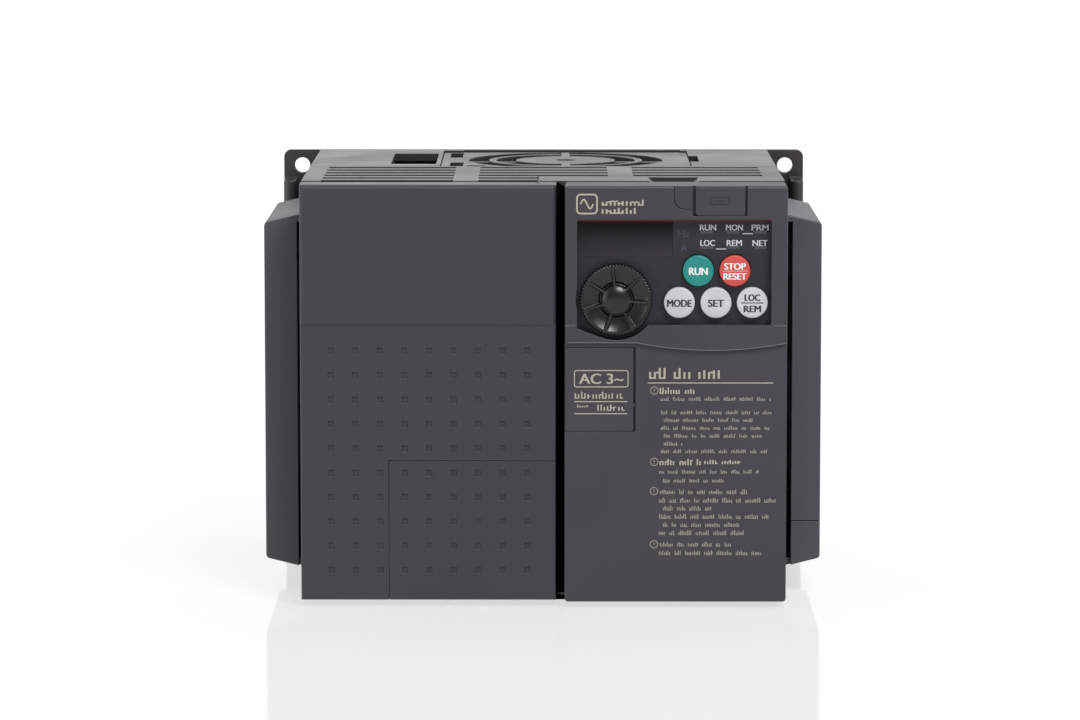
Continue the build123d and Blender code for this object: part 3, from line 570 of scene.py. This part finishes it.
# the five keys: slightly crowned caps with a rolled edge, and their legends
keyCaps = {
    "run_button": {"body": "run_key", "finish": "startGreen", "slot": "start_green", "ink": "keyInkWhite",
                   "legend": (("RUN", 0.0, -0.1, 5.7, 2.2),)},
    "stop_reset_button": {"body": "stop_key", "finish": "stopRed", "slot": "stop_red", "ink": "keyInkWhite",
                          "divider": (7.4, 0.1),
                          "legend": (("STOP", 0.0, 1.4, 6.5, 1.95), ("RESET", 0.0, -1.6, 7.0, 1.95))},
    "mode_button": {"body": "mode_key", "finish": "keyWhite", "slot": "key_white", "ink": "keyInkDark",
                    "legend": (("MODE", 0.0, -0.1, 7.4, 2.15),)},
    "set_button": {"body": "set_key", "finish": "keyWhite", "slot": "key_white", "ink": "keyInkDark",
                   "legend": (("SET", 0.0, -0.1, 4.8, 2.15),)},
    "local_remote_button": {"body": "local_remote_key", "finish": "keyWhite", "slot": "key_white",
                            "ink": "keyInkDark", "divider": (6.6, 0.28),
                            "legend": (("LOC", 0.0, 1.6, 4.8, 1.95), ("REM", 0.0, -1.8, 5.3, 1.95))},
}
# each cap's rolled edge, flange and stem, and how far the legend stands off the crowned face
keyShape = {"radius": 4.65, "crown": 0.16, "edge": 0.42, "flangeRadius": 5.3, "flange": (4.3, 5.1),
            "stemRadius": 1.5, "inkLift": 0.03, "inkFall": 0.02, "heavier": 0.12,
            "divider": (-0.02, 0.2)}


def keyRings(shape, frontY, backY):
    radius, edge = shape["radius"], shape["edge"]
    rings = [(0.02, frontY)]
    for i in range(1, 9):
        r = (radius - edge) * i / 8
        rings.append((r, frontY + shape["crown"] * (r / radius) ** 2))
    rimY = frontY + shape["crown"]
    for i in range(1, 7):
        turn = math.pi / 2 * i / 6
        rings.append((radius - edge + edge * math.sin(turn), rimY + edge * (1 - math.cos(turn))))
    flangeFront, flangeBack = (frontY + depth for depth in shape["flange"])
    flangeRadius, stemRadius = shape["flangeRadius"], shape["stemRadius"]
    rings += [(radius, flangeFront), (flangeRadius, flangeFront), (flangeRadius, flangeBack)]
    return rings + [(stemRadius, flangeBack), (stemRadius, backY)]


def makeKey(node, look):
    low, high = boxMm(node)
    x, z, frontY = (low.x + high.x) / 2, (low.z + high.z) / 2, low.y
    rings = keyRings(keyShape, frontY, high.y)
    mesh = turnedMesh(node + "Cap", rings, 72, (x, z), lambda r, y, angle: (r, y))
    piece = addPiece(node + "Cap", mesh, look["finish"], look["body"], smooth=True)
    piece.data.set_sharp_from_angle(angle=math.radians(40))
    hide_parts(node)
    for number, (words, dx, dz, width, height) in enumerate(look["legend"]):
        inkY = frontY - keyShape["inkLift"] + keyShape["inkFall"] * abs(dz)
        letterPiece(f"{node}Legend{number}", words, (x + dx, inkY, z + dz), (width, height), look["ink"],
                    look["body"], keyShape["heavier"])
    if "divider" in look:
        width, height = look["divider"]
        front, back = (frontY + depth for depth in keyShape["divider"])
        bar = ((x - width / 2, front, z - height / 2), (x + width / 2, back, z + height / 2))
        slabPiece(node + "Divider", [bar], look["ink"], look["body"])


for node, look in keyCaps.items():
    makeKey(node, look)
print("keys made:", len(keyCaps))


# legends on the keypad, its links, the unit marks and the red trim line.
# Places are millimetres from the bezel's left edge and down from its top edge.
keypadPrint = {
    "node": "keypad_bezel", "body": "chassis", "slot": "bezel_plastic", "lift": 0.03, "height": 1.75,
    "heavier": 0.06,
    "labels": (("RUN", 40.6, 3.9, 4.9), ("MON", 48.5, 3.9, 5.1), ("PRM", 56.2, 3.9, 5.1),
               ("LOC", 40.5, 8.55, 4.4), ("REM", 48.5, 8.55, 4.6), ("NET", 56.2, 8.55, 4.5)),
    "links": ((51.0, 54.0, 5.75), (43.0, 46.0, 10.35)), "linkHeight": 0.26,
    "units": (("Hz", 33.4, 5.7, 3.3, 2.1), ("A", 33.4, 10.0, 1.9, 2.1)),
    "trim": (1.4, 59.5, 2.05, 1.5), "trimLift": (0.08, 0.01),
}


def printKeypad(look):
    low, high = boxMm(look["node"])
    left, top, frontY = low.x, high.z, low.y - look["lift"]
    for number, (words, x, down, width) in enumerate(look["labels"]):
        letterPiece(f"keypadLabel{number}", words, (left + x, frontY, top - down), (width, look["height"]),
                    "keypadInk", look["body"], look["heavier"])
    for number, (words, x, down, width, height) in enumerate(look["units"]):
        letterPiece(f"unitMark{number}", words, (left + x, frontY, top - down), (width, height), "unitInk",
                    look["body"])
    half = look["linkHeight"] / 2
    slabs = [((left + x0, frontY, top - down - half), (left + x1, frontY + 0.1, top - down + half))
             for x0, x1, down in look["links"]]
    slabPiece("keypadLinks", slabs, "keypadInk", look["body"])
    windowFront = boxMm("display_window")[0].y
    x0, x1, bottom, upper = look["trim"]
    trimFront, trimBack = (windowFront - lift for lift in look["trimLift"])
    trim = ((left + x0, trimFront, top - bottom), (left + x1, trimBack, top - upper))
    slabPiece("keypadTrim", [trim], "trimRed", look["body"])


printKeypad(keypadPrint)
print("keypad printed")


# printed blocks: rows of plain ticks in place of any wording. A row is its start and end from the right
# cover's left edge, its middle down from the top edge, and its height.
tickPrint = {
    "seed": 7, "lift": 0.03, "thick": 0.1,
    "fine": {"pitch": 0.52, "stroke": 0.27, "gap": 1.1, "letters": (3, 9), "rows": (
        (28.8, 62.2, 64.15, 1.15), (28.9, 62.2, 68.25, 1.15), (29.8, 57.8, 70.55, 1.15),
        (28.9, 61.7, 72.95, 1.15), (29.8, 60.5, 75.35, 1.15), (29.8, 35.6, 77.75, 1.15),
        (28.9, 62.3, 80.05, 1.15), (28.4, 58.7, 86.25, 1.15), (29.6, 48.8, 88.95, 1.15),
        (28.7, 55.1, 92.35, 1.4), (28.4, 63.6, 94.95, 1.4), (29.6, 44.6, 97.35, 1.4),
        (28.4, 62.1, 99.85, 1.4), (29.6, 53.4, 102.35, 1.4), (28.4, 54.3, 104.85, 1.4),
        (28.7, 51.3, 108.35, 1.4), (28.4, 59.2, 110.95, 1.4))},
    "heads": {"pitch": 0.8, "stroke": 0.42, "gap": 1.2, "letters": (5, 8), "rows": (
        (28.5, 39.7, 61.7, 1.9), (28.5, 41.3, 83.3, 1.9), (42.0, 54.4, 83.3, 1.3))},
    "title": {"pitch": 1.45, "stroke": 0.62, "gap": 1.6, "letters": (4, 6), "rows": (
        (25.3, 47.6, 56.45, 3.3),)},
    "badge": {"pitch": 1.2, "stroke": 0.55, "gap": 1.0, "letters": (9, 11), "rows": (
        (11.0, 24.0, 5.0, 1.75), (11.0, 22.4, 7.45, 1.75))},
    "rule": (24.9, 62.6, 59.35, 0.3),
}
coverLow, coverHigh = boxMm("right_front_cover")
coverLeft, coverTop = coverLow.x, coverHigh.z
upperFront, lowerFront = boxMm("usb_cover")[0].y, boxMm("comm_port_cover")[0].y


def tickRows(style, front, thick):
    # each letter is an upright stroke of chance height, some with a short bar to the next one
    pitch, stroke, back = style["pitch"], style["stroke"], front + thick
    slabs = []
    for start, end, down, height in style["rows"]:
        x, last = coverLeft + start, coverLeft + end - stroke
        base = coverTop - down - height / 2
        while x < last:
            for _ in range(random.randint(*style["letters"])):
                if x > last:
                    break
                tall = height * random.choice((0.62, 0.62, 0.78, 1.0))
                slabs.append(((x, front, base), (x + stroke, back, base + tall)))
                if random.random() < 0.45:
                    level = base + tall * random.choice((0.0, 0.42, 0.82))
                    slabs.append(((x + stroke, front, level), (x + pitch, back, level + stroke * 0.75)))
                x += pitch
            x += style["gap"]
    return slabs


def printCover(look):
    random.seed(look["seed"])
    upper, lower, thick = upperFront - look["lift"], lowerFront - look["lift"], look["thick"]
    fine = tickRows(look["fine"], lower, thick)
    slabPiece("coverText", fine, "printFine", "right_cover")
    bold = tickRows(look["heads"], lower, thick) + tickRows(look["title"], lower, thick)
    start, end, down, height = look["rule"]
    x0, x1, z = coverLeft + start, coverLeft + end, coverTop - down
    bold.append(((x0, lower, z - height / 2), (x1, lower + thick, z + height / 2)))
    slabPiece("coverHeadings", bold, "printInk", "right_cover")
    badge = tickRows(look["badge"], upper, thick)
    slabPiece("badgeText", badge, "printInk", "right_cover")


printCover(tickPrint)
print("cover text printed")


# outlines drawn as flat ribbons: the badge frame and wave, the notice signs, the rating frame
def ribbon(points, width, front, closed):
    # a flat strip of even width along a line of points, mitred at each corner
    count = len(points)
    line = [Vector(point) for point in points]
    left, right = [], []
    for i, here in enumerate(line):
        before = line[i - 1] if closed or i > 0 else None
        after = line[(i + 1) % count] if closed or i < count - 1 else None
        sides = []
        for a, b in ((before, here), (here, after)):
            if a is not None and b is not None:
                along = (b - a).normalized()
                sides.append(Vector((-along.y, along.x)))
        side = sum(sides, Vector((0.0, 0.0))).normalized()
        reach = width / 2 / max(0.5, side.dot(sides[0]))
        left.append(here + side * reach)
        right.append(here - side * reach)
    return left, right, front, closed


def ribbonPiece(name, ribbons, finishName, body):
    shape = bmesh.new()
    for left, right, front, closed in ribbons:
        lefts = [shape.verts.new((c.x * mm, front * mm, c.y * mm)) for c in left]
        rights = [shape.verts.new((c.x * mm, front * mm, c.y * mm)) for c in right]
        for i in range(len(left) if closed else len(left) - 1):
            j = (i + 1) % len(left)
            face = shape.faces.new((lefts[i], lefts[j], rights[j], rights[i]))
            face.normal_update()
            if face.normal.y > 0:
                face.normal_flip()
    mesh = bpy.data.meshes.new(name)
    shape.to_mesh(mesh)
    shape.free()
    return addPiece(name, mesh, finishName, body)


def roundedFrame(x0, x1, z0, z1, radius):
    points = []
    corners = ((x1 - radius, z1 - radius, 0), (x0 + radius, z1 - radius, 90),
               (x0 + radius, z0 + radius, 180), (x1 - radius, z0 + radius, 270))
    for cx, cz, start in corners:
        for step in range(5):
            angle = math.radians(start + 22.5 * step)
            points.append((cx + radius * math.cos(angle), cz + radius * math.sin(angle)))
    return points


# frames are left, right, bottom and top; places are from the cover's left edge and down from its top edge
signs = {
    "lift": 0.03, "heavier": 0.12,
    "badgeFrame": (3.6, 9.6, 8.25, 2.55), "badgeRadius": 1.1, "badgeLine": 0.5,
    "badgeWave": (4.7, 8.5, 5.4, 1.35),
    "notices": ((26.9, 61.65), (26.9, 83.25), (26.9, 92.15), (26.9, 108.35)),
    "noticeSize": 1.15, "noticeLine": 0.24, "noticeStroke": 0.26,
    "rating": (2.9, 19.0, 60.55, 55.6), "ratingLine": 0.3, "ratingWords": ("AC 3~", 13.4, 3.1),
    "ratingRules": ((2.9, 18.85, 65.0), (2.9, 18.85, 68.65)),
    "ratingTicks": ({"pitch": 0.95, "stroke": 0.4, "gap": 0.6, "letters": (5, 8), "rows": (
                        (3.0, 17.7, 63.05, 2.1),)},
                    {"pitch": 0.5, "stroke": 0.25, "gap": 0.6, "letters": (5, 8), "rows": (
                        (3.7, 7.4, 66.35, 0.8),)},
                    {"pitch": 0.95, "stroke": 0.4, "gap": 0.6, "letters": (5, 8), "rows": (
                        (9.8, 18.3, 66.85, 1.9),)}),
    "port": (43.4, 49.2, 5.45, 3.45), "portLine": 0.25,
    # the lip curve and the ledges beside the window carry painted highlight lines
    "lipStart": (0.9, 47.03), "lipCurve": ((21.6, 47.09), (43.5, 49.34), (66.6, 47.15)), "lipLine": 0.2,
    "ledges": ((0.4, 3.1, 42.0), (62.5, 66.3, 42.0)),
}


def coverPoint(across, down):
    return coverLeft + across, coverTop - down


def coverFrame(frame, radius):
    left, right, bottom, top = frame
    return roundedFrame(coverLeft + left, coverLeft + right, coverTop - bottom, coverTop - top, radius)


def coverRule(start, end, down, width, front):
    return ribbon([coverPoint(start, down), coverPoint(end, down)], width, front, False)


def printBadge(look, front):
    lines = [ribbon(coverFrame(look["badgeFrame"], look["badgeRadius"]), look["badgeLine"], front, True)]
    start, end, down, rise = look["badgeWave"]
    wave = [coverPoint(start + (end - start) * i / 16, down - rise * math.sin(2 * math.pi * i / 16))
            for i in range(17)]
    lines.append(ribbon(wave, look["badgeLine"], front, False))
    ribbonPiece("badgeMark", lines, "printInk", "right_cover")


def printNotices(look, front):
    # a small ring with an upright stroke and a dot beside each printed paragraph
    size = look["noticeSize"]
    lines = []
    for across, down in look["notices"]:
        x, z = coverPoint(across, down)
        turns = [math.radians(30 * i) for i in range(12)]
        ring = [(x + size * math.cos(turn), z + size * math.sin(turn)) for turn in turns]
        lines.append(ribbon(ring, look["noticeLine"], front, True))
        for bottom, top in ((-0.1, 0.6), (-0.65, -0.45)):
            lines.append(ribbon([(x, z + bottom), (x, z + top)], look["noticeStroke"], front, False))
    ribbonPiece("noticeMarks", lines, "printFine", "right_cover")


def printRating(look, front):
    lines = [ribbon(coverFrame(look["rating"], 0.6), look["ratingLine"], front, True)]
    for start, end, down in look["ratingRules"]:
        lines.append(coverRule(start, end, down, look["ratingLine"], front))
    ribbonPiece("ratingFrame", lines, "printInk", "comm_flap")
    left, right, bottom, top = look["rating"]
    x, z = coverPoint((left + right) / 2, (bottom + top) / 2)
    words, width, height = look["ratingWords"]
    letterPiece("ratingText", words, (x, front, z), (width, height), "printInk", "comm_flap",
                look["heavier"])
    ticks = []
    for style in look["ratingTicks"]:
        ticks += tickRows(style, front, 0.08)
    slabPiece("ratingRows", ticks, "printInk", "comm_flap")


def printPort(look, front):
    # the port sign is embossed; its dark lines are painted shade of the relief
    left, right, bottom, top = look["port"]
    lines = [ribbon(coverFrame(look["port"], 0.3), look["portLine"], front, True),
             coverRule(left + 0.9, right - 0.9, (bottom + top) / 2, look["portLine"], front)]
    ribbonPiece("portMark", lines, "portReliefShade", "usb_flap")


def paintLipHighlight(look, upper):
    # the lip across the cover and the ledges beside the window get a thin pale painted highlight line
    points = [coverPoint(*point) for point in look["lipCurve"]]
    path = [coverPoint(*look["lipStart"])]
    for i in range(25):
        x = points[0][0] + (points[2][0] - points[0][0]) * i / 24
        # a parabola through the three points of the curved part
        z = 0.0
        for k, (xk, zk) in enumerate(points):
            (xa, _), (xb, _) = (point for n, point in enumerate(points) if n != k)
            z += zk * (x - xa) * (x - xb) / ((xk - xa) * (xk - xb))
        path.append((x, z))
    lines = [ribbon(path, look["lipLine"], coverLow.y - 0.02, False)]
    lines += [coverRule(*ledge, look["lipLine"], upper) for ledge in look["ledges"]]
    ribbonPiece("lipHighlightStrip", lines, "lipHighlightInk", "right_cover")


upperInk, lowerInk = upperFront - signs["lift"], lowerFront - signs["lift"]
printBadge(signs, upperInk)
printNotices(signs, lowerInk)
printRating(signs, lowerInk)
printPort(signs, upperInk)
paintLipHighlight(signs, upperInk)
print("cover signs printed")


# the fan wheel: swept, twisted blades on a cup-shaped hub. Heights are down from the hub's top edge.
fanWheel = {
    "node": "fan_rotor", "body": "fan_wheel", "blades": 7, "hubRadius": 14.4, "rootInset": 0.6,
    "tipRadius": 28.5, "rootPitch": 48, "tipPitch": 30, "rootChord": 10.5, "tipChord": 15.5, "sweep": 16,
    "camber": 0.9, "thick": 1.1, "halfHeight": 4.2, "midDown": 4.3,
    "hub": ((0.02, 0.05), (3.0, 0.05), (3.4, 0.3), (11.6, 0.3), (12.4, 0.0), (13.6, 0.0), (14.15, 0.15),
            (14.4, 0.6), (14.5, 2.9), (14.5, 8.8), (12.9, 8.8), (12.9, 2.0), (1.5, 2.0), (1.5, 9.9),
            (0.02, 9.9)),
    "hubSteps": 72,
}


def bladePoint(look, along, across, side):
    # a point of one blade at angle 0: radius, angle and height, from shares of its span and chord
    root = look["hubRadius"] - look["rootInset"]
    r = root + (look["tipRadius"] - root) * along
    pitch = math.radians(look["rootPitch"] + (look["tipPitch"] - look["rootPitch"]) * along)
    chord = look["rootChord"] + (look["tipChord"] - look["rootChord"]) * along
    bow = look["camber"] * (1 - (2 * across) ** 2) + side * look["thick"] / 2 * (1 - (2 * across) ** 4)
    aside = chord * across * math.cos(pitch) - bow * math.sin(pitch)
    up = chord * across * math.sin(pitch) + bow * math.cos(pitch)
    up = max(-look["halfHeight"], min(look["halfHeight"], up))
    return r, math.radians(look["sweep"]) * along + aside / r, up


def addBlade(shape, look, start, place):
    spans, chords = 9, 9
    sheets = []
    for side in (1, -1):
        grid = []
        for i in range(spans):
            row = []
            for j in range(chords):
                r, angle, up = bladePoint(look, i / (spans - 1), j / (chords - 1) - 0.5, side)
                row.append(shape.verts.new(place(r, start + angle, up - look["midDown"])))
            grid.append(row)
        for i in range(spans - 1):
            for j in range(chords - 1):
                shape.faces.new((grid[i][j], grid[i + 1][j], grid[i + 1][j + 1], grid[i][j + 1]))
        sheets.append(grid)
    # the rim that joins the two sheets
    top, bottom = sheets
    border = [(i, 0) for i in range(spans)] + [(spans - 1, j) for j in range(1, chords)]
    border += [(i, chords - 1) for i in range(spans - 2, -1, -1)]
    border += [(0, j) for j in range(chords - 2, 0, -1)]
    for k, (i, j) in enumerate(border):
        m, n = border[(k + 1) % len(border)]
        shape.faces.new((top[i][j], top[m][n], bottom[m][n], bottom[i][j]))


def addFanHub(shape, look, place):
    steps = look["hubSteps"]
    rows = []
    for r, down in look["hub"]:
        rows.append([shape.verts.new(place(r, 2 * math.pi * step / steps, -down)) for step in range(steps)])
    for first, second in zip(rows, rows[1:]):
        for step in range(steps):
            after = (step + 1) % steps
            shape.faces.new((first[step], first[after], second[after], second[step]))
    shape.faces.new(rows[0])
    shape.faces.new(rows[-1][::-1])


def makeFanWheel(look):
    low, high = boxMm("fan_stator")
    centreX, centreY, top = (low.x + high.x) / 2, (low.y + high.y) / 2, boxMm(look["node"])[1].z

    def place(r, angle, up):
        return Vector((centreX + r * math.cos(angle), centreY + r * math.sin(angle), top + up)) * mm

    shape = bmesh.new()
    for blade in range(look["blades"]):
        addBlade(shape, look, 2 * math.pi * blade / look["blades"], place)
    addFanHub(shape, look, place)
    bmesh.ops.remove_doubles(shape, verts=shape.verts, dist=0.0000005)
    bmesh.ops.recalc_face_normals(shape, faces=shape.faces)
    mesh = bpy.data.meshes.new("fanWheel")
    shape.to_mesh(mesh)
    shape.free()
    piece = addPiece("fanWheel", mesh, "fanPlastic", look["body"], smooth=True)
    piece.data.set_sharp_from_angle(angle=math.radians(35))
    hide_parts(look["node"])


makeFanWheel(fanWheel)
print("fan wheel made")


# floor, light and camera
studio = {
    "floorSize": 8.0, "floorDrop": 0.00002, "floorColour": (118, 118, 118), "floorRough": 0.05,
    "floorIor": 1.085, "floorGlow": 0.665, "aim": (0.0, -0.03, 0.07),
    "backColour": (0.985, 0.985, 0.985), "frontColour": (0.3, 0.3, 0.31), "turnFrom": -0.2, "turnTo": 0.3,
    "keyPower": 30.0, "keySize": 0.8, "keyPlace": (0.6, -1.3, 1.55),
    "fillPower": 9.0, "fillSize": 1.2, "fillPlace": (-1.7, -0.9, 0.6),
    "lens": 159.33, "cameraPlace": (0.00275, -1.49325, 0.2466), "pitch": 6.859, "turn": 0.144,
}


def makeFloor(look):
    # back-lit acrylic sheet: even glow, faint mirror image
    mesh = bpy.data.meshes.new("studioFloor")
    shape = bmesh.new()
    bmesh.ops.create_grid(shape, x_segments=1, y_segments=1, size=look["floorSize"])
    shape.to_mesh(mesh)
    shape.free()
    floor = bpy.data.objects.new("studioFloor", mesh)
    bpy.context.scene.collection.objects.link(floor)
    floor.location.z = -look["floorDrop"]
    material, tree, shader = newMaterial("paleFloor")
    haze = noiseOf(tree, 0.9, 1.0)
    low, high = look["floorRough"], look["floorRough"] + 0.03
    tree.links.new(ranged(tree, haze, 0.3, 0.7, low, high), shader.inputs["Roughness"])
    shader.inputs["Base Color"].default_value = paint(*look["floorColour"])
    shader.inputs["IOR"].default_value = look["floorIor"]
    shader.inputs["Emission Color"].default_value = (1.0, 1.0, 1.0, 1.0)
    shader.inputs["Emission Strength"].default_value = look["floorGlow"]
    mesh.materials.append(material)


def makeLight(look):
    # white surround behind the drive, dim in front of it, a key above on the right and a fill on the left
    world = bpy.data.worlds.new("studioSky")
    world.use_nodes = True
    tree = world.node_tree
    place = addNode(tree, "ShaderNodeTexCoord")
    parts = addNode(tree, "ShaderNodeSeparateXYZ")
    tree.links.new(place.outputs["Generated"], parts.inputs["Vector"])
    share = ranged(tree, parts.outputs["Y"], look["turnFrom"], look["turnTo"], 0.0, 1.0)
    sky = mixed(tree, share, (*look["frontColour"], 1.0), (*look["backColour"], 1.0))
    tree.links.new(sky, tree.nodes["Background"].inputs["Color"])
    bpy.context.scene.world = world
    for name in ("key", "fill"):
        lamp = bpy.data.lights.new(name + "Softbox", "AREA")
        lamp.energy = look[name + "Power"]
        lamp.size = look[name + "Size"]
        softbox = bpy.data.objects.new(name + "Softbox", lamp)
        softbox.location = look[name + "Place"]
        aim = Vector(look["aim"]) - softbox.location
        softbox.rotation_euler = aim.to_track_quat("-Z", "Y").to_euler()
        bpy.context.scene.collection.objects.link(softbox)


def makeCamera(look):
    lens = bpy.data.cameras.new("frontCamera")
    lens.lens = look["lens"]
    lens.sensor_width = 36.0
    camera = bpy.data.objects.new("frontCamera", lens)
    camera.location = look["cameraPlace"]
    camera.rotation_euler = (math.radians(90 - look["pitch"]), 0.0, math.radians(look["turn"]))
    bpy.context.scene.collection.objects.link(camera)
    bpy.context.scene.camera = camera


makeFloor(studio)
makeLight(studio)
makeCamera(studio)
bpy.context.scene.view_settings.view_transform = "Standard"
print("studio ready")
